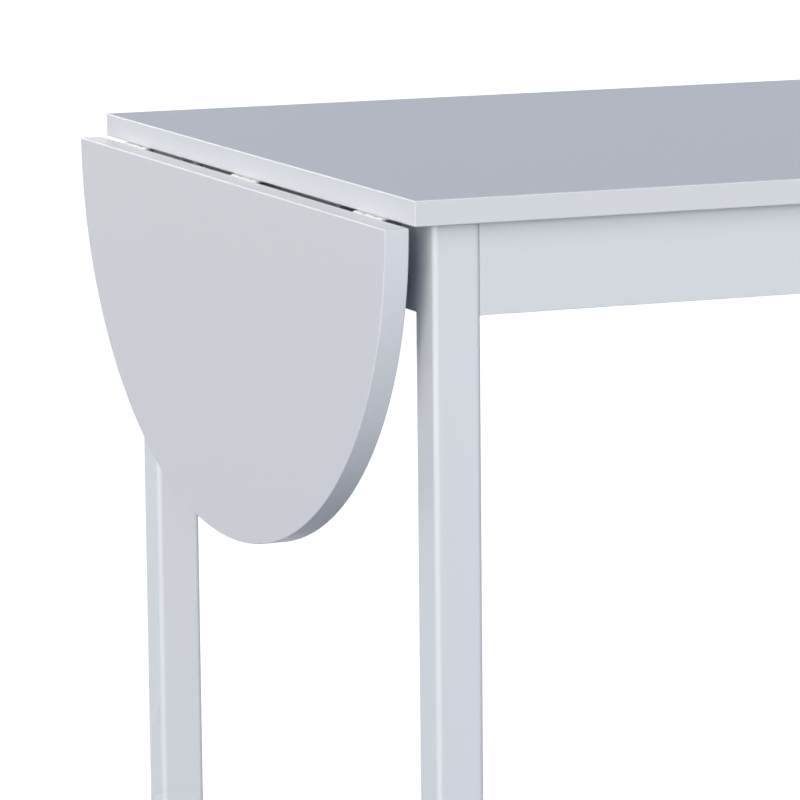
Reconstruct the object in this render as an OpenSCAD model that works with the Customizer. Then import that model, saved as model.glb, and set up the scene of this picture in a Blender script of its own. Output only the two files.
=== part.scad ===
// Drop-leaf dining table: a fixed top on four square legs, and a half-round leaf that hangs at the left end.
// Millimetres. The origin is on the floor, under the middle of the table's outer box. -X is the leaf's end,
// -Y is the front and +Z is up. The leaf hangs; turning it 90 degrees about +Y raises it level with the top.

/* [Table top] */
// Height of the top surface above the floor
table_h = 750; // [650:5:900]
// Length of the fixed top
top_l = 780; // [700:10:1400]
// Width of the fixed top and of the leaf
top_w = 740; // [680:10:1000]
// Thickness of the fixed top and of the leaf
top_t = 20; // [18:0.5:30]
// Radius of the top's upright corners
top_corner_r = 1; // [0.5:0.5:10]

/* [Drop leaf] */
// Depth of the half-round leaf, from its hinged edge to its tip
leaf_d = 300; // [220:10:400]
// Gap between the leaf and the top when the leaf is up
leaf_gap = 0.9; // [0.5:0.1:1.5]

/* [Legs] */
// Side of the square legs
leg_w = 39.5; // [32:0.5:60]
// Radius of the legs' long edges
leg_r = 4.5; // [2:0.5:8]
// Overhang of the top past the legs at both ends
leg_inset_x = 22.5; // [22:0.5:60]
// Overhang of the top past the legs at the front and back
leg_inset_y = 18.5; // [5:0.5:60]
// Radius of the glide under each foot
glide_r = 13; // [8:1:15]
// Thickness of the glide
glide_t = 3; // [2:0.5:8]

/* [Aprons] */
// Height of the aprons
apron_h = 74; // [65:1:120]
// Thickness of the aprons
apron_t = 18; // [16:0.5:24]
// How far the aprons stand back behind the legs' outer faces
apron_recess = 2; // [1.5:0.5:6]
// Radius of the dowels between aprons and legs
dowel_r = 4; // [3:0.5:5]
// How deep a dowel goes into the leg, and into the apron
dowel_depth = 16; // [12:1:16]
// Height between the two dowels of a joint
dowel_pitch = 36; // [25:1:40]

/* [Corner brackets] */
// Height of the bracket plate
corner_h = 54; // [40:1:58]
// Thickness of the bracket plate
corner_t = 1.5; // [1:0.25:3]
// Distance from the leg's inner corner to the bracket's diagonal face
corner_gap = 12; // [9:1:25]
// Length of each wing along its apron
corner_wing = 30; // [22:1:45]
// Radius of the leg bolt
bolt_r = 4; // [3:0.5:5]
// How deep the bolt goes into the leg
bolt_depth = 28; // [20:1:32]

/* [Hinges] */
// Length of a hinge
hinge_l = 60; // [50:1:70]
// Space between an outer hinge and the leg beside it
hinge_leg_gap = 1; // [1:1:20]
// Distance of the hinge pin outside the top's end face
pin_out = 2.5; // [2:0.1:4]
// Distance of the hinge pin below the top's underside
pin_drop = 2.2; // [2.1:0.05:3]
// Radius of the hinge barrel
knuckle_r = 1.9; // [1.6:0.05:1.95]
// Radius of the hinge pin
pin_r = 1.1; // [0.8:0.05:1.2]
// Width of a flap, from the pin's axis
flap_w = 20; // [16:0.5:21]
// Thickness of a flap
flap_t = 1.2; // [1:0.1:1.5]

/* [Leaf stays] */
// Distance of each stay from the middle of the table
stay_y = 188; // [80:1:190]
// Width of the stay arm
arm_w = 14; // [12:0.5:16]
// Thickness of the stay arm
arm_t = 2.5; // [2:0.25:4]
// Radius of the stud that the arm's slot rides on
stud_r = 2.9; // [2.5:0.1:3.2]
// Distance of the stud outside the apron's face
stud_out = 8.5; // [8:0.5:9]
// Distance of the stud below the apron's lower edge
stud_below = 13; // [12:0.5:20]
// Height of the arm's pivot above the leaf's inner face
lug_h = 9.5; // [9.5:0.25:10]
// Radius of the arm's pivot rivet
rivet_r = 2.4; // [2:0.1:3]
// Width of the bracket under the overhang and of the lug's base
stay_w = 24; // [20:1:30]
// Distance of the bracket's lip inside the top's end face
lip_inset = 3; // [2:0.5:6]
// Thickness of the bracket and of the lug
stay_t = 2; // [1.5:0.25:2.5]

/* [Screws] */
// Radius of the wood screws
screw_r = 1.5; // [1:0.1:1.75]
// Depth of the wood screws in the wood
screw_depth = 11; // [8:0.5:14]

/* [Hidden] */
$fn = 48;
left = -1;
right = 1;
front = -1;
back = 1;
fit = 0.05; // running clearance of pins, dowels and screws in their holes
plate_fit = 0.2; // clearance of screws and bolts in the plates that they hold
side_gap = 0.4; // clearance between plates that pass each other
cut = 1; // how far a cutting shape runs past the faces it cuts

leaf_out = pin_out + pin_drop + top_t; // how far the hanging leaf stands outside the top
top_x0 = -(top_l + leaf_out) / 2 + leaf_out;
top_x1 = top_x0 + top_l;
under_z = table_h - top_t;
apron_z0 = under_z - apron_h;
pin_x = top_x0 - pin_out;
pin_z = under_z - pin_drop;

leg_x = [top_x0 + leg_inset_x, top_x1 - leg_inset_x]; // the legs' outer faces at the two ends
leg_y = top_w / 2 - leg_inset_y; // the legs' outer faces at the front and back
rail_l = leg_x[1] - leg_x[0] - 2 * leg_w; // front and back aprons
end_l = 2 * (leg_y - leg_w); // end aprons
dowel_in = apron_recess + apron_t / 2; // from the leg's outer face to the dowels
inner_in = apron_recess + apron_t; // from the leg's outer face to the aprons' inner faces

outer_knuckles = [0, 2, 4]; // of the flap under the top
inner_knuckles = [1, 3]; // of the flap on the leaf
kn_l = hinge_l / 5;
kn_gap = 0.2;
notch = knuckle_r + 0.5; // the flaps stand back this far from the other flap's knuckles
head_h = 0.8; // pin heads
hinge_y = leg_y - leg_w - hinge_leg_gap - hinge_l / 2;
hinge_places = [-hinge_y, 0, hinge_y];
flap_screw_x = (flap_w + notch) / 2 + 0.5;
flap_screw_y = hinge_l / 3;

screw_head_r = 2 * screw_r;
screw_head_h = 1.1 * screw_r;

washer_t = 1.6;
nut_t = 1.6 * bolt_r;
nut_r = 1.88 * bolt_r; // to the corners
bolt_l = corner_gap + corner_t + washer_t + nut_t + 3; // from the leg's corner to the bolt's free end
glide_pin_r = 2.5;
glide_pin_l = 14;

// The stay: the stud F stands on the bracket and the pivot L on the leaf, both at the same distance from the
// hinge pin P. The arm from L through F then always turns half as far as the leaf, so the slot stays on F.
stud_x = pin_out + leg_inset_x + apron_recess - stud_out; // F, inwards of P
stud_z = -(apron_h - pin_drop) - stud_below; // F, above P
stay_r = norm([stud_x, stud_z]);
lug_drop = lug_h - pin_drop; // L, inwards of P when the leaf hangs
lug_along = sqrt(stay_r * stay_r - lug_drop * lug_drop); // L, below P when the leaf hangs
arm_tilt = atan2(stud_z + lug_along, stud_x - lug_drop); // the hanging arm's slope above level
slot_near = norm([stud_x - lug_drop, stud_z + lug_along]); // L to F with the leaf down
slot_far = norm([stud_x + lug_along, stud_z + lug_drop]); // L to F with the leaf up
slot_r = stud_r + 0.15;
slot_end_gap = 0.1;
catch_depth = (arm_w / 2 - slot_r) / 2; // side pocket that the stud drops into with the leaf up
arm_l = slot_far + slot_r + arm_w / 3; // L to the tail, before its round end
ear_r = 6.5; // round the stud
lip_h = 8;
lug_base_l = 34;
base_t = 1.5;
lug_ear_r = 6; // round the pivot
lug_screw_in = 4.5; // from the ends of the lug's base to its screws
stud_head_r = 4.6; // clears the lug's ear with the leaf down
rivet_head_r = 4.1; // clears the bracket's ear with the leaf down
rivet_head_h = 1.5;

angle_w = 20; // angle brackets between aprons and top
angle_l = 20;
angle_t = 2;
angle_in = 0.25; // share of the front apron's length from its ends to its angle brackets

paint = [0.84, 0.85, 0.88];
steel = [0.75, 0.76, 0.78];
zinc = [0.66, 0.69, 0.74];
beech = [0.80, 0.66, 0.47];
plastic = [0.90, 0.90, 0.90];

// Places and frames

// Children drawn round the hinge pin with the leaf up are turned down to where it hangs
module hanging() {
    translate([pin_x, 0, pin_z]) rotate([0, -90, 0]) children();
}

// Children drawn round the hinge pin, on the fixed side
module at_pin() {
    translate([pin_x, 0, pin_z]) children();
}

// A plate cut to the XZ outline of its children, its mid-plane at y
module upright_plate(y, t) {
    translate([0, y, 0]) rotate([90, 0, 0]) linear_extrude(t, center = true) children();
}

// A round bar along Y at [x, z], from y0 to y1
module cross_bar(x, z, r, y0, y1) {
    translate([x, (y0 + y1) / 2, z]) rotate([90, 0, 0]) cylinder(r = r, h = abs(y1 - y0), center = true);
}

// Children drawn for the front left leg, whose outer corner is the origin, are mirrored to another corner
module at_corner(end, side) {
    x = end == left ? leg_x[0] : leg_x[1];
    translate([x, side * leg_y, 0])
        mirror([end == left ? 0 : 1, 0, 0]) mirror([0, side == front ? 0 : 1, 0]) children();
}

// A square with round corners, its lower left corner at the origin
module round_square(size, r) {
    translate([r, 0]) square([size[0] - 2 * r, size[1]]);
    translate([0, r]) square([size[0], size[1] - 2 * r]);
    for (x = [r, size[0] - r], y = [r, size[1] - r]) translate([x, y]) circle(r);
}

// A wood screw along +Z, whose head sits on a plate of thickness t that lies on the wood at the origin
module plate_screw(t) {
    cylinder(r = screw_r, h = screw_depth);
    translate([0, 0, -t - screw_head_h]) cylinder(r = screw_head_r, h = screw_head_h);
    translate([0, 0, -t - screw_head_h / 2]) cylinder(r = screw_r, h = t + screw_head_h);
}

// The hole that such a screw cuts in the wood
module screw_hole() {
    translate([0, 0, -cut]) cylinder(r = screw_r + fit, h = screw_depth + cut + fit);
}

// The hole that such a screw goes through in its plate
module plate_hole(t) {
    translate([0, 0, -t - cut]) cylinder(r = screw_r + plate_fit, h = t + 2 * cut);
}

// Where the screws go

module flap_screw_places() {
    for (y = hinge_places, i = [-1:1]) translate([flap_screw_x, y + i * flap_screw_y, pin_drop]) children();
}

module top_flap_screw_places() {
    at_pin() flap_screw_places() children();
}

module leaf_flap_screw_places() {
    hanging() mirror([1, 0, 0]) flap_screw_places() children();
}

// Each screw on a corner bracket's wing, pointing into the apron
module corner_screw_places() {
    start = leg_w * 2 + corner_gap * sqrt(2) - inner_in;
    for (i = [0.3, 0.75], z = [-1, 1]) {
        height = under_z - apron_h / 2 + z * corner_h / 4;
        translate([start + i * corner_wing, inner_in, height]) rotate([90, 0, 0]) children();
        translate([inner_in, start + i * corner_wing, height]) rotate([0, -90, 0]) children();
    }
}

// Each angle bracket, its inside corner at the apron's inner face and the top's underside, +X to the middle
module angle_places() {
    y_in = leg_y - inner_in;
    for (s = [-1, 1], i = [-1, 1])
        translate([(leg_x[0] + leg_x[1]) / 2 + i * (0.5 - angle_in) * rail_l, s * y_in, under_z])
            rotate([0, 0, -90 * s]) children();
    translate([leg_x[0] + inner_in, 0, under_z]) children();
    translate([leg_x[1] - inner_in, 0, under_z]) rotate([0, 0, 180]) children();
}

// The two screws of an angle bracket: up into the top, and out into the apron
module angle_up_screw() {
    translate([angle_l * 0.6, 0, 0]) children();
}

module angle_out_screw() {
    translate([0, 0, -angle_l * 0.6]) rotate([0, -90, 0]) children();
}

// The bracket's screws: up into the top, and in to the apron
module stay_up_screws() {
    for (y = [-stay_y, stay_y], i = [-1, 1])
        translate([top_x0 + (lip_inset + leg_inset_x + apron_recess) / 2, y + i * stay_w / 4, under_z])
            children();
}

module stay_in_screws() {
    for (y = [-stay_y, stay_y], i = [-1, 1])
        translate([leg_x[0] + apron_recess, y + i * stay_w / 4, under_z - apron_h / 4])
            rotate([0, 90, 0]) children();
}

module lug_screw_places() {
    hanging() for (y = [-stay_y, stay_y], i = [-1, 1])
        translate([-lug_along + i * (lug_base_l / 2 - lug_screw_in), y, pin_drop]) children();
}

// The top and the leaf

module fixed_top() {
    color(paint) difference() {
        translate([top_x0, -top_w / 2, under_z])
            linear_extrude(top_t) round_square([top_l, top_w], top_corner_r);
        top_flap_screw_places() screw_hole();
        angle_places() angle_up_screw() screw_hole();
        stay_up_screws() screw_hole();
    }
}

// Half of an ellipse, straight on the hinged side
module leaf_outline() {
    steps = 120;
    polygon([for (i = [0:steps])
        [pin_out - leaf_gap - leaf_d * sin(180 * i / steps), -top_w / 2 * cos(180 * i / steps)]]);
}

module drop_leaf() {
    color(paint) difference() {
        hanging() translate([0, 0, pin_drop]) linear_extrude(top_t) leaf_outline();
        leaf_flap_screw_places() screw_hole();
        lug_screw_places() screw_hole();
    }
}

// Legs and aprons

module leg(end, side) {
    color(paint) at_corner(end, side) difference() {
        translate([0, 0, glide_t]) linear_extrude(under_z - glide_t) round_square([leg_w, leg_w], leg_r);
        for (z = [-1, 1]) {
            height = under_z - apron_h / 2 + z * dowel_pitch / 2;
            translate([leg_w - dowel_depth - fit, dowel_in, height])
                rotate([0, 90, 0]) cylinder(r = dowel_r + fit, h = dowel_depth + cut);
            translate([dowel_in, leg_w - dowel_depth - fit, height])
                rotate([-90, 0, 0]) cylinder(r = dowel_r + fit, h = dowel_depth + cut);
        }
        bolt_frame() translate([0, 0, -bolt_depth - fit])
            cylinder(r = bolt_r + fit, h = bolt_depth + leg_w);
        glide_pin_hole();
    }
}

// The bolt's axis is +Z, out of the leg's inner corner towards the middle of the table
module bolt_frame() {
    translate([leg_w, leg_w, under_z - apron_h / 2]) rotate([0, 0, 45]) rotate([0, 90, 0]) children();
}

// The four dowels of the joints beside one leg
module dowel_set() {
    for (z = [-1, 1]) {
        height = under_z - apron_h / 2 + z * dowel_pitch / 2;
        translate([leg_w, dowel_in, height])
            rotate([0, 90, 0]) cylinder(r = dowel_r, h = 2 * dowel_depth, center = true);
        translate([dowel_in, leg_w, height])
            rotate([90, 0, 0]) cylinder(r = dowel_r, h = 2 * dowel_depth, center = true);
    }
}

module dowel_holes() {
    for (end = [left, right], side = [front, back], z = [-1, 1]) at_corner(end, side) {
        height = under_z - apron_h / 2 + z * dowel_pitch / 2;
        translate([leg_w - cut, dowel_in, height])
            rotate([0, 90, 0]) cylinder(r = dowel_r + fit, h = dowel_depth + cut + fit);
        translate([dowel_in, leg_w - cut, height])
            rotate([-90, 0, 0]) cylinder(r = dowel_r + fit, h = dowel_depth + cut + fit);
    }
}

module long_apron(side) {
    color(paint) difference() {
        at_corner(left, side) translate([leg_w, apron_recess, apron_z0]) cube([rail_l, apron_t, apron_h]);
        dowel_holes();
        for (end = [left, right]) at_corner(end, side) corner_screw_places() screw_hole();
        angle_places() angle_out_screw() screw_hole();
    }
}

module end_apron(end) {
    color(paint) difference() {
        at_corner(end, front) translate([apron_recess, leg_w, apron_z0]) cube([apron_t, end_l, apron_h]);
        dowel_holes();
        for (side = [front, back]) at_corner(end, side) corner_screw_places() screw_hole();
        angle_places() angle_out_screw() screw_hole();
        if (end == left) stay_in_screws() screw_hole();
    }
}

module apron_dowels() {
    color(beech) for (end = [left, right], side = [front, back]) at_corner(end, side) dowel_set();
}

// Corner brackets: a plate across the corner, with a wing along each apron

module corner_outline() {
    c = 2 * leg_w + corner_gap * sqrt(2); // x + y along the diagonal face next to the leg
    d = c + corner_t * sqrt(2);
    i = inner_in;
    o = inner_in + corner_t;
    polygon([
        [c - i + corner_wing, i], [c - i, i], [i, c - i], [i, c - i + corner_wing],
        [o, c - i + corner_wing], [o, d - o], [d - o, o], [c - i + corner_wing, o]
    ]);
}

module corner_bracket(end, side) {
    color(zinc) at_corner(end, side) difference() {
        translate([0, 0, under_z - apron_h / 2 - corner_h / 2]) linear_extrude(corner_h) corner_outline();
        bolt_frame() cylinder(r = bolt_r + plate_fit, h = 3 * corner_gap);
        corner_screw_places() plate_hole(corner_t);
    }
}

module corner_bracket_screws() {
    color(zinc) for (end = [left, right], side = [front, back]) at_corner(end, side)
        corner_screw_places() plate_screw(corner_t);
}

module leg_bolts() {
    color(zinc) for (end = [left, right], side = [front, back]) at_corner(end, side)
        bolt_frame() translate([0, 0, -bolt_depth]) cylinder(r = bolt_r, h = bolt_depth + bolt_l);
}

module leg_washers() {
    color(zinc) for (end = [left, right], side = [front, back]) at_corner(end, side)
        bolt_frame() translate([0, 0, corner_gap + corner_t]) difference() {
            cylinder(r = 2 * bolt_r, h = washer_t);
            translate([0, 0, -cut]) cylinder(r = bolt_r + fit, h = washer_t + 2 * cut);
        }
}

module leg_nuts() {
    color(zinc) for (end = [left, right], side = [front, back]) at_corner(end, side)
        bolt_frame() translate([0, 0, corner_gap + corner_t + washer_t]) difference() {
            cylinder(r = nut_r, h = nut_t, $fn = 6);
            translate([0, 0, -cut]) cylinder(r = bolt_r + fit, h = nut_t + 2 * cut);
        }
}

// Angle brackets under the top

module top_angles() {
    color(zinc) angle_places() difference() {
        translate([0, angle_w / 2, 0]) rotate([90, 0, 0]) linear_extrude(angle_w)
            polygon([[0, 0], [angle_l, 0], [angle_l, -angle_t], [angle_t, -angle_t],
                     [angle_t, -angle_l], [0, -angle_l]]);
        angle_up_screw() plate_hole(angle_t);
        angle_out_screw() plate_hole(angle_t);
    }
}

module top_angle_screws() {
    color(zinc) angle_places() {
        angle_up_screw() plate_screw(angle_t);
        angle_out_screw() plate_screw(angle_t);
    }
}

// Foot glides: a round pad with a pin up into the leg

module glide_pin_hole() {
    translate([leg_w / 2, leg_w / 2, glide_t - cut]) cylinder(r = glide_pin_r + fit, h = glide_pin_l + cut + fit);
}

module foot_glide(end, side) {
    color(plastic) at_corner(end, side) translate([leg_w / 2, leg_w / 2, 0]) {
        cylinder(r = glide_r, h = glide_t);
        cylinder(r = glide_pin_r, h = glide_t + glide_pin_l);
    }
}

// Hinges. A flap is drawn round the pin: its plate runs along +X against the plane z = pin_drop.

module knuckle_span(y, i, grow) {
    translate([0, y - hinge_l / 2 + (i + 0.5) * kn_l, 0]) rotate([90, 0, 0])
        linear_extrude(kn_l + grow, center = true) children();
}

module flap(y, mine, others) {
    difference() {
        union() {
            translate([0, y - hinge_l / 2, pin_drop - flap_t]) cube([flap_w, hinge_l, flap_t]);
            for (i = mine) knuckle_span(y, i, -kn_gap) circle(knuckle_r);
        }
        for (i = others) knuckle_span(y, i, kn_gap) translate([-cut, -2 * cut]) square([notch + cut, 5 * cut]);
        cross_bar(0, 0, pin_r + fit, y - hinge_l, y + hinge_l);
        for (i = [-1:1]) translate([flap_screw_x, y + i * flap_screw_y, pin_drop]) plate_hole(flap_t);
    }
}

module hinge_top_flap(y) {
    color(steel) at_pin() flap(y, outer_knuckles, inner_knuckles);
}

module hinge_leaf_flap(y) {
    color(steel) hanging() mirror([1, 0, 0]) flap(y, inner_knuckles, outer_knuckles);
}

module hinge_pin(y) {
    color(steel) {
        cross_bar(pin_x, pin_z, pin_r, y - hinge_l / 2 - head_h / 2, y + hinge_l / 2 + head_h / 2);
        for (s = [-1, 1])
            cross_bar(pin_x, pin_z, knuckle_r - 0.3, y + s * hinge_l / 2, y + s * (hinge_l / 2 + head_h));
    }
}

module hinge_top_screws() {
    color(steel) top_flap_screw_places() plate_screw(flap_t);
}

module hinge_leaf_screws() {
    color(steel) leaf_flap_screw_places() plate_screw(flap_t);
}

// Stays. side is front or back; the bracket's ear is on the inner side of the arm and the lug's on the outer.

function arm_face(side, out) = side * (stay_y + out * arm_t / 2);
function inner_ear_y(side) = side * (stay_y - arm_t / 2 - side_gap - stay_t / 2);
function outer_ear_y(side) = side * (stay_y + arm_t / 2 + side_gap + stay_t / 2);

module stay_bracket(side) {
    x0 = top_x0 + lip_inset;
    x1 = leg_x[0] + apron_recess;
    y0 = side * stay_y - stay_w / 2;
    fx = pin_x + stud_x;
    fz = pin_z + stud_z;
    rise = stud_below + 20;
    color(zinc) difference() {
        union() {
            translate([x0, y0, under_z - stay_t]) cube([x1 - x0, stay_w, stay_t]);
            translate([x0, y0, under_z - lip_h]) cube([stay_t, stay_w, lip_h]);
            translate([x1 - stay_t, y0, apron_z0]) cube([stay_t, stay_w, apron_h]);
            upright_plate(inner_ear_y(side), stay_t) {
                translate([fx, fz]) circle(ear_r);
                polygon([[fx - ear_r, fz], [fx - ear_r, fz + rise], [x1 - stay_t, fz + rise + 12],
                         [x1, fz + rise + 12], [x1, apron_z0], [fx + ear_r, fz]]);
            }
        }
        cross_bar(fx, fz, stud_r + fit, inner_ear_y(side) - stay_w, inner_ear_y(side) + stay_w);
        stay_up_screws() plate_hole(stay_t);
        stay_in_screws() plate_hole(stay_t);
    }
}

module stay_bracket_screws() {
    color(zinc) {
        stay_up_screws() plate_screw(stay_t);
        stay_in_screws() plate_screw(stay_t);
    }
}

// The stud runs from the bracket's ear through the slot, with a head on each side
module stay_stud(side) {
    fx = pin_x + stud_x;
    fz = pin_z + stud_z;
    ear_inner = inner_ear_y(side) - side * stay_t / 2;
    head_y = arm_face(side, 1) + side * side_gap;
    color(steel) {
        cross_bar(fx, fz, stud_r, ear_inner - side * cut, head_y + side * cut);
        cross_bar(fx, fz, stud_head_r, head_y, head_y + side * stay_t);
        cross_bar(fx, fz, stud_head_r - 1, ear_inner, ear_inner - side * 1.2);
    }
}

// Drawn from the pivot along +X, the slot from where the stud is with the leaf down to where it is with it up
module arm_outline() {
    difference() {
        union() {
            circle(arm_w / 2);
            translate([0, -arm_w / 2]) square([arm_l, arm_w]);
            translate([arm_l, 0]) circle(arm_w / 2);
        }
        circle(rivet_r + fit);
        for (x = [slot_near - slot_end_gap, slot_far + slot_end_gap]) translate([x, 0]) circle(slot_r);
        translate([slot_near, -slot_r]) square([slot_far - slot_near, 2 * slot_r]);
        translate([slot_far + slot_end_gap, catch_depth]) circle(slot_r);
        translate([slot_far + slot_end_gap - slot_r, 0]) square([2 * slot_r, catch_depth]);
    }
}

module stay_arm(side) {
    color(zinc) at_pin() translate([lug_drop, 0, -lug_along]) rotate([0, -arm_tilt, 0])
        upright_plate(side * stay_y, arm_t) arm_outline();
}

// Drawn with the leaf up: a base on the leaf's underside and an ear beside the arm
module stay_lug(side) {
    color(zinc) hanging() difference() {
        union() {
            translate([-lug_along - lug_base_l / 2, side * stay_y - stay_w / 2, pin_drop - base_t])
                cube([lug_base_l, stay_w, base_t]);
            upright_plate(outer_ear_y(side), stay_t) {
                translate([-lug_along, -lug_drop]) circle(lug_ear_r);
                translate([-lug_along - lug_ear_r, -lug_drop]) square([2 * lug_ear_r, lug_h - base_t / 2]);
            }
        }
        cross_bar(-lug_along, -lug_drop, rivet_r + fit, side * stay_y, side * (stay_y + stay_w));
        for (i = [-1, 1]) translate([-lug_along + i * (lug_base_l / 2 - lug_screw_in), side * stay_y, pin_drop])
            plate_hole(base_t);
    }
}

module stay_lug_screws() {
    color(zinc) lug_screw_places() plate_screw(base_t);
}

module stay_rivet(side) {
    ear_outer = outer_ear_y(side) + side * stay_t / 2;
    arm_inner = arm_face(side, -1) - side * side_gap / 2;
    color(steel) hanging() {
        cross_bar(-lug_along, -lug_drop, rivet_r, arm_inner - side * cut, ear_outer + side * cut);
        cross_bar(-lug_along, -lug_drop, rivet_head_r, arm_inner - side * rivet_head_h, arm_inner);
        cross_bar(-lug_along, -lug_drop, rivet_head_r, ear_outer, ear_outer + side * rivet_head_h);
    }
}

fixed_top();
drop_leaf();
leg(left, front);  // leg_front_left
leg(right, front);  // leg_front_right
leg(left, back);  // leg_back_left
leg(right, back);  // leg_back_right
long_apron(front);  // front_apron
long_apron(back);  // back_apron
end_apron(left);  // left_apron
end_apron(right);  // right_apron
apron_dowels();
corner_bracket(left, front);  // corner_bracket_front_left
corner_bracket(right, front);  // corner_bracket_front_right
corner_bracket(left, back);  // corner_bracket_back_left
corner_bracket(right, back);  // corner_bracket_back_right
corner_bracket_screws();
leg_bolts();
leg_washers();
leg_nuts();
top_angles();
top_angle_screws();
foot_glide(left, front);  // foot_glide_front_left
foot_glide(right, front);  // foot_glide_front_right
foot_glide(left, back);  // foot_glide_back_left
foot_glide(right, back);  // foot_glide_back_right
hinge_top_flap(hinge_places[0]);  // hinge_top_flap_front
hinge_top_flap(hinge_places[1]);  // hinge_top_flap_middle
hinge_top_flap(hinge_places[2]);  // hinge_top_flap_back
hinge_leaf_flap(hinge_places[0]);  // hinge_leaf_flap_front
hinge_leaf_flap(hinge_places[1]);  // hinge_leaf_flap_middle
hinge_leaf_flap(hinge_places[2]);  // hinge_leaf_flap_back
hinge_pin(hinge_places[0]);  // hinge_pin_front
hinge_pin(hinge_places[1]);  // hinge_pin_middle
hinge_pin(hinge_places[2]);  // hinge_pin_back
hinge_top_screws();
hinge_leaf_screws();
stay_bracket(front);  // stay_bracket_front
stay_bracket(back);  // stay_bracket_back
stay_bracket_screws();
stay_stud(front);  // stay_stud_front
stay_stud(back);  // stay_stud_back
stay_arm(front);  // stay_arm_front
stay_arm(back);  // stay_arm_back
stay_lug(front);  // stay_lug_front
stay_lug(back);  // stay_lug_back
stay_lug_screws();
stay_rivet(front);  // stay_rivet_front
stay_rivet(back);  // stay_rivet_back
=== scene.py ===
# The looks of the drop-leaf dining table: painted boards, hardware, light, floor and camera.
# Metres throughout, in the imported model's own frame: -X is the leaf's end, -Y the front, +Z up.

import math

import bmesh
import bpy
from mathutils import Matrix, Vector


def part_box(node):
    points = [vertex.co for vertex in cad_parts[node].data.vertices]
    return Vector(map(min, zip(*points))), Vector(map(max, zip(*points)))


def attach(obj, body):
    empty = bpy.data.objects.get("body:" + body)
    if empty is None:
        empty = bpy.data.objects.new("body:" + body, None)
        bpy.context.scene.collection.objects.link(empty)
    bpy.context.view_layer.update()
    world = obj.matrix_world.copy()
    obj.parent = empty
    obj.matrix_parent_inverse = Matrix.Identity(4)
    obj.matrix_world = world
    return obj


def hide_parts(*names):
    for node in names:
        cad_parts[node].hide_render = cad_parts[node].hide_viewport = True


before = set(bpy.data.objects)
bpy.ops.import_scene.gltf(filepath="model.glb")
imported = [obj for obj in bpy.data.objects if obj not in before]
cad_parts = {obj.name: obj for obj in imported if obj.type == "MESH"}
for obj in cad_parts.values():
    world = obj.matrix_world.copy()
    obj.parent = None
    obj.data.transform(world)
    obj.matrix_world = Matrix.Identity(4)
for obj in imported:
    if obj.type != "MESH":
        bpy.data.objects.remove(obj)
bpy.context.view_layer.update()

weldWithin = 0.000002  # points nearer to each other than this are one point
sharpAbove = 32  # degrees of bend, above which an edge between two faces shows as hard


# Small helpers for node trees, used by the materials and by the geometry trees

def addNode(tree, kind, inputs=None, **settings):
    node = tree.nodes.new(kind)
    for name, value in settings.items():
        setattr(node, name, value)
    for name, value in (inputs or {}).items():
        socket = node.inputs[name]
        for item in value if isinstance(value, list) else [value]:
            if isinstance(item, bpy.types.NodeSocket):
                tree.links.new(item, socket)
            else:
                socket.default_value = item
    return node


def mathNode(tree, operation, first, second):
    return addNode(tree, "ShaderNodeMath", {0: first, 1: second}, operation=operation).outputs[0]


def newShapeTree(name, sizes, source=None):
    tree = bpy.data.node_groups.new(name, "GeometryNodeTree")
    if source:
        tree.interface.new_socket(source, in_out="INPUT", socket_type="NodeSocketGeometry")
    kinds = {float: "NodeSocketFloat", int: "NodeSocketInt", tuple: "NodeSocketVector"}
    for label, value in sizes.items():
        socket = tree.interface.new_socket(label, in_out="INPUT", socket_type=kinds[type(value)])
        socket.default_value = value
    tree.interface.new_socket("Finish", in_out="INPUT", socket_type="NodeSocketMaterial")
    tree.interface.new_socket("Shape", in_out="OUTPUT", socket_type="NodeSocketGeometry")
    return tree, tree.nodes.new("NodeGroupInput").outputs


def endShapeTree(tree, shape, finish):
    real = addNode(tree, "GeometryNodeRealizeInstances", {"Geometry": shape}).outputs[0]
    smooth = addNode(tree, "GeometryNodeSetShadeSmooth", {"Geometry": real}).outputs[0]
    coloured = addNode(tree, "GeometryNodeSetMaterial", {"Geometry": smooth, "Material": finish}).outputs[0]
    addNode(tree, "NodeGroupOutput", {"Shape": coloured})
    return tree


def joinWelded(tree, parts):
    whole = addNode(tree, "GeometryNodeJoinGeometry", {"Geometry": parts}).outputs[0]
    return addNode(tree, "GeometryNodeMergeByDistance", {
        "Geometry": whole, "Distance": weldWithin,
    }).outputs[0]


# Small helpers for pieces: grown from a tree, eased, made a plain mesh, and set on their body

def growPiece(name, tree, values, source=None):
    piece = bpy.data.objects.new(name, source or bpy.data.meshes.new(name))
    bpy.context.scene.collection.objects.link(piece)
    modifier = piece.modifiers.new("shape", "NODES")
    modifier.node_group = tree
    for item in tree.interface.items_tree:
        if item.in_out == "INPUT" and item.name in values:
            modifier[item.identifier] = values[item.name]
    return piece


def roundEdges(piece, radius, segments=3, limit=50):
    bevel = piece.modifiers.new("arris", "BEVEL")
    bevel.width = radius
    bevel.segments = segments
    bevel.limit_method = "ANGLE"
    bevel.angle_limit = math.radians(limit)
    bevel.use_clamp_overlap = False


def keepFlat(piece):
    # the flat faces keep their own normals, and only the eased arrises turn
    flatten = piece.modifiers.new("flatten", "WEIGHTED_NORMAL")
    flatten.mode = "FACE_AREA"
    flatten.weight = 100
    flatten.keep_sharp = False


def makePlain(piece):
    bpy.context.view_layer.update()
    evaluated = piece.evaluated_get(bpy.context.evaluated_depsgraph_get())
    mesh = bpy.data.meshes.new_from_object(evaluated)
    piece.modifiers.clear()
    piece.data = mesh
    mesh.name = piece.name
    return mesh


# how far a face's normal leans along an axis, on a flat face and on the eased arris beside it
faceLean = {"flat": 0.999, "easedLeast": 0.2, "easedMost": 0.97}


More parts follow.
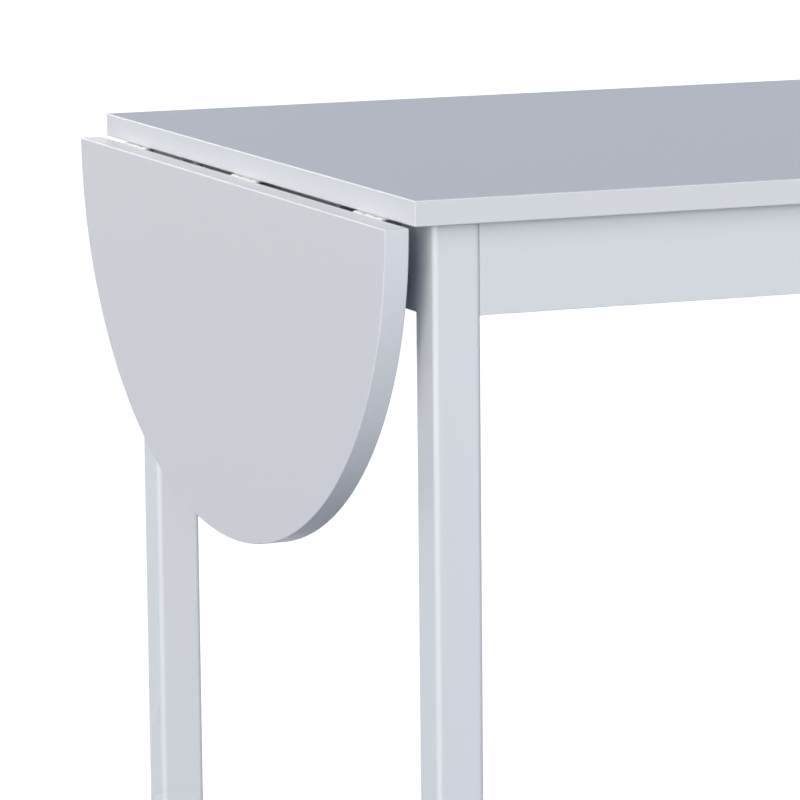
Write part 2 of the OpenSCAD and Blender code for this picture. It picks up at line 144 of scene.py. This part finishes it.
def faceWith(piece, finish, picks):
    # gives the faces whose normal is picked their own finish
    piece.data.materials.append(finish)
    for polygon in piece.data.polygons:
        if picks(polygon.normal):
            polygon.material_index = len(piece.data.materials) - 1


def settle(piece, body, node):
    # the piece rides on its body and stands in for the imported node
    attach(piece, body)
    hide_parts(node)


# Finishes: a noise on Object coordinates mottles the colour, and finer ones make the bump

noiseRange = {"low": 0.15, "high": 0.85}  # nearly all values of a noise texture lie between these


def newFinish(name):
    material = bpy.data.materials.new(name)
    material.use_nodes = True
    return material, material.node_tree, material.node_tree.nodes["Principled BSDF"]


def noiseOn(tree, scale, detail=2.0, stretch=None, roughness=0.5):
    place = addNode(tree, "ShaderNodeTexCoord").outputs["Object"]
    if stretch:
        place = addNode(tree, "ShaderNodeMapping", {"Vector": place, "Scale": stretch}).outputs[0]
    return addNode(tree, "ShaderNodeTexNoise", {
        "Vector": place, "Scale": scale, "Detail": detail, "Roughness": roughness,
    }).outputs["Fac"]


def spread(tree, factor, low, high):
    return addNode(tree, "ShaderNodeMapRange", {
        "Value": factor, "From Min": noiseRange["low"], "From Max": noiseRange["high"],
        "To Min": low, "To Max": high,
    }).outputs[0]


def blendColours(tree, factor, first, second):
    mix = addNode(tree, "ShaderNodeMix", data_type="RGBA")
    tree.links.new(factor, mix.inputs[0])
    mix.inputs[6].default_value = (*first, 1)
    mix.inputs[7].default_value = (*second, 1)
    return mix.outputs[2]


def mottle(tree, shader, pattern, dark, pale, roughness):
    tint = blendColours(tree, spread(tree, pattern, 0, 1), dark, pale)
    tree.links.new(tint, shader.inputs["Base Color"])
    if isinstance(roughness, tuple):
        tree.links.new(spread(tree, pattern, *roughness), shader.inputs["Roughness"])
    else:
        shader.inputs["Roughness"].default_value = roughness


def bumpFrom(tree, height, distance, under=None):
    inputs = {"Height": height, "Distance": distance, "Strength": 1.0}
    if under:
        inputs["Normal"] = under
    return addNode(tree, "ShaderNodeBump", inputs).outputs[0]


# one white, as each surface shows it, so that some entries carry painted light as marked below: its colour
# where the coat is full and where it is thin
paints = {
    # matt, on the top's upper face and the leaf's outer face
    "faceFoil": {
        "colour": (0.670, 0.682, 0.733), "thin": (0.664, 0.676, 0.728), "specular": 0.04,
        "roughness": (0.50, 0.54), "rollerMark": 0.000006, "rollerPerMetre": 420.0,
    },
    # smoother, round the top's edges
    "edgeBand": {
        "colour": (0.666, 0.690, 0.736), "thin": (0.661, 0.685, 0.731), "specular": 0.02,
        "roughness": (0.15, 0.18), "rollerMark": 0.000001, "rollerPerMetre": 200.0,
    },
    # the same kind of band, round the leaf's curved edge
    "leafBand": {
        "colour": (0.673, 0.700, 0.764), "thin": (0.668, 0.695, 0.759), "specular": 0.02,
        "roughness": (0.20, 0.24), "rollerMark": 0.000001, "rollerPerMetre": 200.0,
    },
    # brighter and glossier, on the leaf's straight edge at the hinges; its brighter colour is a painted
    # reflection, for the sheen that this edge catches at a grazing view
    "buttPaintedSheen": {
        "colour": (0.90, 0.875, 0.905), "thin": (0.895, 0.87, 0.90), "specular": 0.40,
        "roughness": (0.12, 0.15), "rollerMark": 0.0000005, "rollerPerMetre": 200.0,
    },
    # a lighter colour along the upper arrises: a painted highlight, for the bright line that light draws along
    # them
    "arrisPaintedHighlight": {
        "colour": (0.755, 0.775, 0.825), "thin": (0.745, 0.765, 0.815), "specular": 0.16,
        "roughness": (0.22, 0.26), "rollerMark": 0.0000005, "rollerPerMetre": 200.0,
    },
    # darker, on the top's underside and the leaf's inner face: painted shade, for the dark in the gap behind
    # the leaf and under the top
    "backPaintedShade": {
        "colour": (0.48, 0.50, 0.56), "thin": (0.47, 0.49, 0.55), "specular": 0.04,
        "roughness": (0.54, 0.58), "rollerMark": 0.000006, "rollerPerMetre": 420.0,
    },
    # satin, on the legs and aprons
    "legLacquer": {
        "colour": (0.680, 0.707, 0.764), "thin": (0.673, 0.700, 0.758), "specular": 0.13,
        "roughness": (0.26, 0.30), "rollerMark": 0.000004, "rollerPerMetre": 260.0,
    },
}
# what all the paints share: wide faint clouds, the roller's mark, and fine dust over it
coat = {
    "cloudPerMetre": 5.0, "cloudDetail": 3.0, "rollerDetail": 1.5,
    "dustPerMetre": 1500.0, "dustHeight": 0.0000005,
}


def makePaint(name, look):
    finish, tree, shader = newFinish(name)
    shader.inputs["Specular IOR Level"].default_value = look["specular"]
    cloud = noiseOn(tree, coat["cloudPerMetre"], coat["cloudDetail"])
    mottle(tree, shader, cloud, look["thin"], look["colour"], look["roughness"])
    roller = noiseOn(tree, look["rollerPerMetre"], coat["rollerDetail"])
    peel = bumpFrom(tree, roller, look["rollerMark"])
    dust = noiseOn(tree, coat["dustPerMetre"])
    tree.links.new(bumpFrom(tree, dust, coat["dustHeight"], under=peel), shader.inputs["Normal"])
    return finish


hardwareLooks = {
    # tumbled nickel, with faint streaks along the barrels
    "nickelSteel": {
        "pale": (0.57, 0.575, 0.60), "dark": (0.53, 0.535, 0.56), "roughness": (0.54, 0.60), "metallic": 1.0,
        "pattern": {"scale": 420.0, "detail": 4.0, "stretch": (1.0, 0.25, 1.0)},
        "grain": {"scale": 2600.0, "detail": 2.0}, "grainHeight": 0.0000002,
    },
    "zincPlate": {
        "pale": (0.66, 0.72, 0.80), "dark": (0.46, 0.53, 0.63), "roughness": (0.28, 0.46), "metallic": 1.0,
        "pattern": {"scale": 160.0, "detail": 5.0, "roughness": 0.62},
        "grain": {"scale": 1900.0, "detail": 3.0}, "grainHeight": 0.000005,
    },
    # the flecks of beech are its grain too
    "bareBeech": {
        "pale": (0.62, 0.43, 0.26), "dark": (0.47, 0.29, 0.16), "roughness": 0.62, "metallic": 0.0,
        "pattern": {"scale": 260.0, "detail": 6.0, "stretch": (1.0, 1.0, 6.0), "roughness": 0.6},
        "grainHeight": 0.00004,
    },
    "glidePlastic": {
        "pale": (0.72, 0.73, 0.74), "dark": (0.62, 0.62, 0.61), "roughness": 0.48, "metallic": 0.0,
        "pattern": {"scale": 300.0, "detail": 4.0},
        "grain": {"scale": 1400.0, "detail": 2.0}, "grainHeight": 0.00001,
    },
}


def makeHardwareFinish(name, look):
    finish, tree, shader = newFinish(name)
    shader.inputs["Metallic"].default_value = look["metallic"]
    pattern = noiseOn(tree, **look["pattern"])
    mottle(tree, shader, pattern, look["dark"], look["pale"], look["roughness"])
    grain = noiseOn(tree, **look["grain"]) if "grain" in look else pattern
    tree.links.new(bumpFrom(tree, grain, look["grainHeight"]), shader.inputs["Normal"])
    return finish


finishes = {name: makePaint(name, look) for name, look in paints.items()}
finishes.update({name: makeHardwareFinish(name, look) for name, look in hardwareLooks.items()})
print("finishes made:", len(finishes))


# Boards: every straight timber is a rounded rectangle, raised to its height and eased along its arrises

def raiseOutline(tree, outline, height):
    lid = addNode(tree, "GeometryNodeFillCurve", {"Curve": outline}, mode="NGONS").outputs[0]
    sides = addNode(tree, "GeometryNodeExtrudeMesh", {
        "Mesh": lid, "Offset Scale": height, "Individual": False,
    }).outputs[0]
    under = addNode(tree, "GeometryNodeFlipFaces", {"Mesh": lid}).outputs[0]
    return joinWelded(tree, [sides, under])


def makeBoardTree():
    tree, given = newShapeTree("board", {
        "Low corner": (0.0, 0.0, 0.0), "Size": (1.0, 1.0, 1.0), "Corner radius": 0.001, "Corner steps": 8,
    })
    size = addNode(tree, "ShaderNodeSeparateXYZ", {"Vector": given["Size"]}).outputs
    outline = addNode(tree, "GeometryNodeCurvePrimitiveQuadrilateral", {
        "Width": size[0], "Height": size[1],
    }).outputs[0]
    rounded = addNode(tree, "GeometryNodeFilletCurve", {
        "Curve": outline, "Radius": given["Corner radius"], "Count": given["Corner steps"],
    }, mode="POLY").outputs[0]
    shape = raiseOutline(tree, rounded, size[2])
    middle = addNode(tree, "ShaderNodeVectorMath", {
        0: given["Size"], 1: (0.5, 0.5, 0.0),
    }, operation="MULTIPLY").outputs[0]
    place = addNode(tree, "ShaderNodeVectorMath", {0: given["Low corner"], 1: middle}).outputs[0]
    shape = addNode(tree, "GeometryNodeTransform", {"Geometry": shape, "Translation": place}).outputs[0]
    return endShapeTree(tree, shape, given["Finish"])


corners = ["front_left", "front_right", "back_left", "back_right"]
boards = {
    "top": {
        "nodes": ["fixed_top"],
        "corner": 0.001, "cornerSteps": 4, "arris": 0.0008, "paint": "edgeBand",
    },
    "legs": {
        "nodes": ["leg_" + corner for corner in corners],
        "corner": 0.0045, "cornerSteps": 12, "arris": 0.0008, "paint": "legLacquer",
    },
    # the aprons' ends reach further into the legs' rounded corners, so that no slit shows
    "longAprons": {
        "nodes": ["front_apron", "back_apron"], "reach": (0.00035, 0, 0),
        "corner": 0.0002, "cornerSteps": 4, "arris": 0.0005, "paint": "legLacquer",
    },
    "endAprons": {
        "nodes": ["left_apron", "right_apron"], "reach": (0, 0.00035, 0),
        "corner": 0.0002, "cornerSteps": 4, "arris": 0.0005, "paint": "legLacquer",
    },
}
boardTree = makeBoardTree()
for kind, board in boards.items():
    reach = Vector(board.get("reach", (0, 0, 0)))
    for node in board["nodes"]:
        low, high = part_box(node)
        low, high = low - reach, high + reach
        piece = growPiece(node + "_board", boardTree, {
            "Low corner": low, "Size": high - low, "Corner radius": board["corner"],
            "Corner steps": board["cornerSteps"], "Finish": finishes[board["paint"]],
        })
        roundEdges(piece, board["arris"])
        keepFlat(piece)
        makePlain(piece)
        if kind == "top":
            faceWith(piece, finishes["faceFoil"], lambda normal: normal.z > faceLean["flat"])
            # the underside gets a darker colour: painted shade
            faceWith(piece, finishes["backPaintedShade"], lambda normal: normal.z < -faceLean["flat"])
            # the eased upper arrises get a lighter colour: a painted highlight
            faceWith(piece, finishes["arrisPaintedHighlight"],
                     lambda normal: faceLean["easedLeast"] < normal.z < faceLean["easedMost"])
        settle(piece, "frame", node)
    print("boards made:", kind, len(board["nodes"]))


# The leaf: half an ellipse, straight along its hinged edge

leaf = {"arris": 0.0009, "steps": 240, "paint": "leafBand"}


def makeLeafTree():
    tree, given = newShapeTree("leaf", {
        "Width": 0.74, "Depth": 0.3, "Thickness": 0.02, "Hinged edge": (0.0, 0.0, 0.0),
        "Steps": leaf["steps"],
    })
    half = addNode(tree, "GeometryNodeCurveArc", {
        "Resolution": mathNode(tree, "ADD", given["Steps"], 1.0), "Radius": 1.0,
        "Start Angle": math.pi, "Sweep Angle": math.pi,
    }).outputs[0]
    halfWidth = mathNode(tree, "MULTIPLY", given["Width"], 0.5)
    squash = addNode(tree, "ShaderNodeCombineXYZ", {"X": halfWidth, "Y": given["Depth"], "Z": 1.0}).outputs[0]
    outline = addNode(tree, "GeometryNodeTransform", {"Geometry": half, "Scale": squash}).outputs[0]
    closed = addNode(tree, "GeometryNodeSetSplineCyclic", {"Geometry": outline, "Cyclic": True}).outputs[0]
    shape = raiseOutline(tree, closed, given["Thickness"])
    # the outline's X runs along the table's Y, and its Y up, so the thickness runs along the table's X
    turn = addNode(tree, "FunctionNodeEulerToRotation", {"Euler": (math.pi / 2, 0, math.pi / 2)}).outputs[0]
    shape = addNode(tree, "GeometryNodeTransform", {
        "Geometry": shape, "Rotation": turn, "Translation": given["Hinged edge"],
    }).outputs[0]
    return endShapeTree(tree, shape, given["Finish"])


low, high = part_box("drop_leaf")
piece = growPiece("leaf_board", makeLeafTree(), {
    "Width": high.y - low.y, "Depth": high.z - low.z, "Thickness": high.x - low.x,
    "Hinged edge": (low.x, 0.0, high.z), "Finish": finishes[leaf["paint"]],
})
roundEdges(piece, leaf["arris"])
keepFlat(piece)
makePlain(piece)
faceWith(piece, finishes["faceFoil"], lambda normal: normal.x < -faceLean["flat"])
# the leaf's inner face gets the same painted shade
faceWith(piece, finishes["backPaintedShade"], lambda normal: normal.x > faceLean["flat"])
# the hinged edge gets a brighter colour: a painted reflection of the sheen it catches
faceWith(piece, finishes["buttPaintedSheen"], lambda normal: normal.z > faceLean["flat"])
# the leaf's upper outer arris gets the same painted highlight
faceWith(piece, finishes["arrisPaintedHighlight"],
         lambda normal: normal.z > faceLean["easedLeast"] and normal.x < -faceLean["easedLeast"])
settle(piece, "leaf", "drop_leaf")
print("leaf made")


# Screws: a pan head with a cross recess, a shank and a point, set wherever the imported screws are

screw = {
    "headRadius": 0.003, "headHeight": 0.00165, "shankRadius": 0.0015, "recess": 0.0018, "sides": 20,
    # rings of the head and of the shank: each one's share of the length, and its width against the last one's
    "dome": [(0.45, 0.97), (0.25, 0.88), (0.18, 0.80), (0.12, 0.70)],
    "stem": [(0.75, 1.0), (0.25, 0.15)],
    "slotWidth": 0.3,  # of the recess's length
    "rimFrom": 1.3,  # in shank radii: a packed screw's points beyond this are on its head
}


def raiseRings(tree, mesh, height, rings):
    face = True  # the first ring takes every face, and each later one the face that the last one raised
    for share, width in rings:
        raised = addNode(tree, "GeometryNodeExtrudeMesh", {
            "Mesh": mesh, "Selection": face, "Individual": False,
            "Offset Scale": mathNode(tree, "MULTIPLY", height, share),
        }).outputs
        face = raised["Top"]
        mesh = addNode(tree, "GeometryNodeScaleElements", {
            "Geometry": raised["Mesh"], "Selection": face, "Scale": width,
        }).outputs[0]
    return mesh


def growScrew(tree, given):
    # a disc at the head's underside grows up into the head, and down into the shank and its point
    disc = addNode(tree, "GeometryNodeMeshCircle", {
        "Vertices": given["Sides"], "Radius": given["Head radius"],
    }, fill_type="NGON").outputs[0]
    down = mathNode(tree, "MULTIPLY", given["Head height"], -1.0)
    place = addNode(tree, "ShaderNodeCombineXYZ", {"Z": down}).outputs[0]
    disc = addNode(tree, "GeometryNodeTransform", {"Geometry": disc, "Translation": place}).outputs[0]
    head = raiseRings(tree, disc, given["Head height"], screw["dome"])
    under = addNode(tree, "GeometryNodeFlipFaces", {"Mesh": disc}).outputs[0]
    length = mathNode(tree, "SUBTRACT", given["Length"], given["Head height"])
    neck = mathNode(tree, "DIVIDE", given["Shank radius"], given["Head radius"])
    shank = raiseRings(tree, under, length, [(0.0, neck), *screw["stem"]])
    return joinWelded(tree, [head, shank])


def cutCross(tree, given, whole):
    # two crossed blocks centred on the crown, so that the recess is half as deep as the head
    blocks = []
    for long, wide in ((1.0, screw["slotWidth"]), (screw["slotWidth"], 1.0)):
        size = addNode(tree, "ShaderNodeCombineXYZ", {
            "X": mathNode(tree, "MULTIPLY", given["Recess"], 2 * long),
            "Y": mathNode(tree, "MULTIPLY", given["Recess"], 2 * wide),
            "Z": given["Head height"],
        }).outputs[0]
        blocks.append(addNode(tree, "GeometryNodeMeshCube", {"Size": size}).outputs[0])
    return addNode(tree, "GeometryNodeMeshBoolean", {"Mesh 1": whole, "Mesh 2": blocks},
                   operation="DIFFERENCE", solver="EXACT").outputs[0]


def aimScrew(tree, given):
    # along each point's own axis, and turned at random by less than the quarter turn that repeats the cross
    axis = addNode(tree, "GeometryNodeInputNamedAttribute", {"Name": "axis"},
                   data_type="FLOAT_VECTOR").outputs[0]
    aim = addNode(tree, "FunctionNodeAlignRotationToVector", {"Vector": axis}, axis="Z").outputs[0]
    chance = addNode(tree, "FunctionNodeRandomValue", {"Seed": given["Seed"]}, data_type="FLOAT")
    for socket in chance.inputs:
        if socket.enabled and socket.name == "Max":
            socket.default_value = math.pi / 2
    angle = [socket for socket in chance.outputs if socket.enabled][0]
    spin = addNode(tree, "FunctionNodeAxisAngleToRotation", {"Axis": (0, 0, 1), "Angle": angle}).outputs[0]
    return addNode(tree, "FunctionNodeRotateRotation", {"Rotation": aim, "Rotate By": spin},
                   rotation_space="LOCAL").outputs[0]


def makeScrewTree():
    tree, given = newShapeTree("screws", {
        "Head radius": screw["headRadius"], "Head height": screw["headHeight"],
        "Shank radius": screw["shankRadius"], "Recess": screw["recess"], "Sides": screw["sides"],
        "Length": 0.013, "Seed": 7,
    }, "Points")
    placed = addNode(tree, "GeometryNodeInstanceOnPoints", {
        "Points": given["Points"], "Instance": cutCross(tree, given, growScrew(tree, given)),
        "Rotation": aimScrew(tree, given),
    }).outputs[0]
    return endShapeTree(tree, placed, given["Finish"])


def solidsOf(node):
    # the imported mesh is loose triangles, so a welded copy is walked solid by solid
    shell = bmesh.new()
    shell.from_mesh(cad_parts[node].data)
    bmesh.ops.remove_doubles(shell, verts=shell.verts, dist=weldWithin)
    shell.verts.ensure_lookup_table()
    seen = set()
    solids = []
    for start in shell.verts:
        if start.index in seen:
            continue
        seen.add(start.index)
        waiting, points = [start], []
        while waiting:
            vertex = waiting.pop()
            points.append(vertex.co.copy())
            for edge in vertex.link_edges:
                other = edge.other_vert(vertex)
                if other.index not in seen:
                    seen.add(other.index)
                    waiting.append(other)
        solids.append(points)
    shell.free()
    return solids


def screwPlaces(node):
    # the head's crown and the way it faces, for each screw, and the screws' common length
    places = []
    for points in solidsOf(node):
        low = Vector([min(p[i] for p in points) for i in range(3)])
        high = Vector([max(p[i] for p in points) for i in range(3)])
        middle = (low + high) / 2
        along = max(range(3), key=lambda i: high[i] - low[i])
        across = [i for i in range(3) if i != along]
        rim = [p[along] for p in points
               if math.hypot(*(p[i] - middle[i] for i in across)) > screw["rimFrom"] * screw["shankRadius"]]
        side = 1 if sum(rim) / len(rim) > middle[along] else -1
        crown = middle.copy()
        crown[along] = high[along] if side > 0 else low[along]
        axis = Vector((0, 0, 0))
        axis[along] = side
        places.append((tuple(crown), tuple(axis)))
        length = high[along] - low[along]
    return sorted(places), length


screwGroups = {
    "corner_bracket_screws": {"body": "frame", "slot": "zinc_steel", "finish": "zincPlate", "seed": 3},
    "top_angle_screws": {"body": "frame", "slot": "zinc_steel", "finish": "zincPlate", "seed": 5},
    "stay_bracket_screws": {"body": "frame", "slot": "zinc_steel", "finish": "zincPlate", "seed": 8},
    "stay_lug_screws": {"body": "leaf", "slot": "zinc_steel", "finish": "zincPlate", "seed": 13},
    "hinge_top_screws": {"body": "frame", "slot": "hinge_steel", "finish": "nickelSteel", "seed": 21},
    "hinge_leaf_screws": {"body": "leaf", "slot": "hinge_steel", "finish": "nickelSteel", "seed": 34},
}
screwTree = makeScrewTree()
for name, group in screwGroups.items():
    places, length = screwPlaces(name)
    dots = bpy.data.meshes.new(name + "_places")
    dots.from_pydata([crown for crown, axis in places], [], [])
    facing = dots.attributes.new("axis", "FLOAT_VECTOR", "POINT")
    facing.data.foreach_set("vector", [number for crown, axis in places for number in axis])
    piece = growPiece(name + "_set", screwTree, {
        "Length": length, "Seed": group["seed"], "Finish": finishes[group["finish"]],
    }, dots)
    makePlain(piece).set_sharp_from_angle(angle=math.radians(sharpAbove))
    settle(piece, group["body"], name)
    print("screws made:", name, len(places))


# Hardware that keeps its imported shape: welded, eased and smoothed, with its own finish

def makeSmoothTree():
    tree = bpy.data.node_groups.new("smoothByAngle", "GeometryNodeTree")
    tree.interface.new_socket("Geometry", in_out="INPUT", socket_type="NodeSocketGeometry")
    tree.interface.new_socket("Geometry", in_out="OUTPUT", socket_type="NodeSocketGeometry")
    source = tree.nodes.new("NodeGroupInput").outputs[0]
    bare = addNode(tree, "GeometryNodeRemoveAttribute", {
        "Geometry": source, "Name": "custom_normal",
    }).outputs[0]
    smooth = addNode(tree, "GeometryNodeSetShadeSmooth", {"Geometry": bare, "Shade Smooth": True}).outputs[0]
    bend = addNode(tree, "GeometryNodeInputMeshEdgeAngle").outputs[0]
    sharp = addNode(tree, "FunctionNodeCompare", {"A": bend, "B": math.radians(sharpAbove)}).outputs[0]
    split = addNode(tree, "GeometryNodeSetShadeSmooth", {
        "Geometry": smooth, "Selection": sharp, "Shade Smooth": False,
    }, domain="EDGE").outputs[0]
    addNode(tree, "NodeGroupOutput", {"Geometry": split})
    return tree


def dress(node, finish, ease, segments):
    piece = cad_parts[node]
    if not piece.material_slots:
        piece.data.materials.append(finish)
    for slot in piece.material_slots:
        slot.material = finish
    weld = piece.modifiers.new("weld", "WELD")
    weld.merge_threshold = weldWithin
    roundEdges(piece, ease, segments, limit=35)
    piece.modifiers.new("smooth", "NODES").node_group = smoothTree


hinges = ["front", "middle", "back"]
stays = ["front", "back"]
hardware = {
    "corner_bracket": {"ends": corners, "finish": "zincPlate", "ease": 0.00035},
    "foot_glide": {"ends": corners, "finish": "glidePlastic", "ease": 0.0009, "segments": 3},
    "hinge_top_flap": {"ends": hinges, "finish": "nickelSteel", "ease": 0.00012},
    "hinge_leaf_flap": {"ends": hinges, "finish": "nickelSteel", "ease": 0.00012},
    "hinge_pin": {"ends": hinges, "finish": "nickelSteel", "ease": 0.0003},
    "stay_bracket": {"ends": stays, "finish": "zincPlate", "ease": 0.00035},
    "stay_arm": {"ends": stays, "finish": "zincPlate", "ease": 0.00045},
    "stay_lug": {"ends": stays, "finish": "zincPlate", "ease": 0.0003},
    "stay_stud": {"ends": stays, "finish": "nickelSteel", "ease": 0.0004},
    "stay_rivet": {"ends": stays, "finish": "nickelSteel", "ease": 0.0004},
    "leg_bolts": {"finish": "zincPlate", "ease": 0.0006},
    "leg_washers": {"finish": "zincPlate", "ease": 0.0002},
    "leg_nuts": {"finish": "zincPlate", "ease": 0.0005},
    "top_angles": {"finish": "zincPlate", "ease": 0.00035},
    "apron_dowels": {"finish": "bareBeech", "ease": 0.0006},
}
smoothTree = makeSmoothTree()
for name, look in hardware.items():
    nodes = [name + "_" + end for end in look["ends"]] if "ends" in look else [name]
    for node in nodes:
        dress(node, finishes[look["finish"]], look["ease"], look.get("segments", 2))
print("hardware dressed")


# Floor and background: white to the camera and in reflections, but dim and blue where they light the table

def whiteRays(tree):
    path = addNode(tree, "ShaderNodeLightPath").outputs
    seen = mathNode(tree, "MAXIMUM", path["Is Camera Ray"], path["Is Glossy Ray"])
    return mathNode(tree, "MAXIMUM", seen, path["Is Transmission Ray"])


floor = {
    "halfSide": 12.0, "colour": (0.072, 0.102, 0.182), "seenColour": (0.9, 0.9, 0.9), "glow": 0.62,
    "mottlePerMetre": 40.0, "mottleDetail": 4.0, "mottleShade": 0.97,
    # how far the floor looks round itself for cover, and how open it is where the glow starts and is full
    "reach": 1.2, "covered": (0.35, 0.75),
}


def makeFloorFinish():
    finish = bpy.data.materials.new("paleFloor")
    finish.use_nodes = True
    tree = finish.node_tree
    tree.nodes.clear()
    pattern = noiseOn(tree, floor["mottlePerMetre"], floor["mottleDetail"])
    shade = tuple(channel * floor["mottleShade"] for channel in floor["colour"])
    back = addNode(tree, "ShaderNodeBsdfDiffuse", {
        "Color": blendColours(tree, pattern, shade, floor["colour"]),
    }).outputs[0]
    seen = addNode(tree, "ShaderNodeBsdfDiffuse", {"Color": (*floor["seenColour"], 1)}).outputs[0]
    # the white fades out under the table, where its own shadow lies
    around = addNode(tree, "ShaderNodeAmbientOcclusion", {"Distance": floor["reach"]}, samples=4).outputs["AO"]
    free = addNode(tree, "ShaderNodeMapRange", {
        "Value": around, "From Min": floor["covered"][0], "From Max": floor["covered"][1],
    }).outputs[0]
    glow = addNode(tree, "ShaderNodeEmission", {
        "Color": (1, 1, 1, 1), "Strength": mathNode(tree, "MULTIPLY", free, floor["glow"]),
    }).outputs[0]
    bright = addNode(tree, "ShaderNodeAddShader", {0: seen, 1: glow}).outputs[0]
    mixed = addNode(tree, "ShaderNodeMixShader", {0: whiteRays(tree), 1: back, 2: bright}).outputs[0]
    addNode(tree, "ShaderNodeOutputMaterial", {"Surface": mixed})
    return finish


ground = bmesh.new()
bmesh.ops.create_grid(ground, x_segments=8, y_segments=8, size=floor["halfSide"])
floorMesh = bpy.data.meshes.new("floor")
ground.to_mesh(floorMesh)
ground.free()
floorMesh.materials.append(makeFloorFinish())
floorPiece = bpy.data.objects.new("floor", floorMesh)
bpy.context.scene.collection.objects.link(floorPiece)

room = {"ambient": (0.43, 0.88, 1.85), "ambientStrength": 0.12}


def makeRoom():
    world = bpy.data.worlds.new("studio")
    world.use_nodes = True
    tree = world.node_tree
    tree.nodes.clear()
    fill = addNode(tree, "ShaderNodeBackground", {
        "Color": (*room["ambient"], 1), "Strength": room["ambientStrength"],
    }).outputs[0]
    white = addNode(tree, "ShaderNodeBackground", {"Color": (1, 1, 1, 1), "Strength": 1.0}).outputs[0]
    mixed = addNode(tree, "ShaderNodeMixShader", {0: whiteRays(tree), 1: fill, 2: white}).outputs[0]
    addNode(tree, "ShaderNodeOutputWorld", {"Surface": mixed})
    return world


bpy.context.scene.world = makeRoom()

# soft distant lamps: the angle from the front towards the right, and the height above level and the apparent
# width, all in degrees, and the light's level
lamps = {
    "keyLamp": {"azimuth": -38, "elevation": 3, "width": 26, "level": 0.855},
    "highLamp": {"azimuth": -42, "elevation": 20, "width": 40, "level": 0.42},
    "endLamp": {"azimuth": -85, "elevation": 0, "width": 30, "level": 0.14},
    "frontRightLamp": {"azimuth": 65, "elevation": 5, "width": 60, "level": 0.305},
    "topLamp": {"azimuth": -175, "elevation": 42, "width": 40, "level": 0.10, "tint": (1.0, 0.93, 0.66)},
    "rightLamp": {"azimuth": 95, "elevation": 8, "width": 50, "level": 0.32},
    "backLamp": {"azimuth": -168, "elevation": 12, "width": 50, "level": 0.38, "tint": (1.0, 0.92, 0.77)},
    "backRightLamp": {"azimuth": 120, "elevation": 10, "width": 40, "level": 0.16},
}
# a lamp without its own tint is warm against the room's blue: lit faces come out neutral, and shadows bluish
lampTint = (1.0, 0.965, 0.87)
lampDistance = 4  # a place to stand in the file only, because a sun's distance changes nothing
for name, lamp in lamps.items():
    data = bpy.data.lights.new(name, "SUN")
    data.angle = math.radians(lamp["width"])
    data.energy = math.pi * lamp["level"]
    data.color = lamp.get("tint", lampTint)
    light = bpy.data.objects.new(name, data)
    bpy.context.scene.collection.objects.link(light)
    around, up = math.radians(lamp["azimuth"]), math.radians(lamp["elevation"])
    towards = Vector((math.sin(around) * math.cos(up), -math.cos(around) * math.cos(up), math.sin(up)))
    aim = (-towards).to_track_quat("-Z", "Y").to_matrix().to_4x4()
    light.matrix_world = Matrix.Translation(towards * lampDistance) @ aim
print("floor, background and lamps made")


# Camera, fitted to the straight edges in the picture: angles in degrees, lens and sensor in millimetres

view = {
    "place": (-1.676125, -3.584468, 1.165113), "yaw": 21.789, "pitch": 9.292, "roll": 0.581,
    "lens": 207.956, "sensor": 36.0, "clipEnd": 100.0,
}
cameraData = bpy.data.cameras.new("camera")
cameraData.lens = view["lens"]
cameraData.sensor_fit = "HORIZONTAL"
cameraData.sensor_width = view["sensor"]
cameraData.clip_end = view["clipEnd"]
camera = bpy.data.objects.new("camera", cameraData)
bpy.context.scene.collection.objects.link(camera)
heading = Matrix.Rotation(math.radians(-view["yaw"]), 4, "Z")
tilt = Matrix.Rotation(math.radians(90 - view["pitch"]), 4, "X")
roll = Matrix.Rotation(math.radians(-view["roll"]), 4, "Z")
camera.matrix_world = Matrix.Translation(view["place"]) @ heading @ tilt @ roll
bpy.context.scene.camera = camera
bpy.context.scene.view_settings.view_transform = "Standard"
print("camera set")
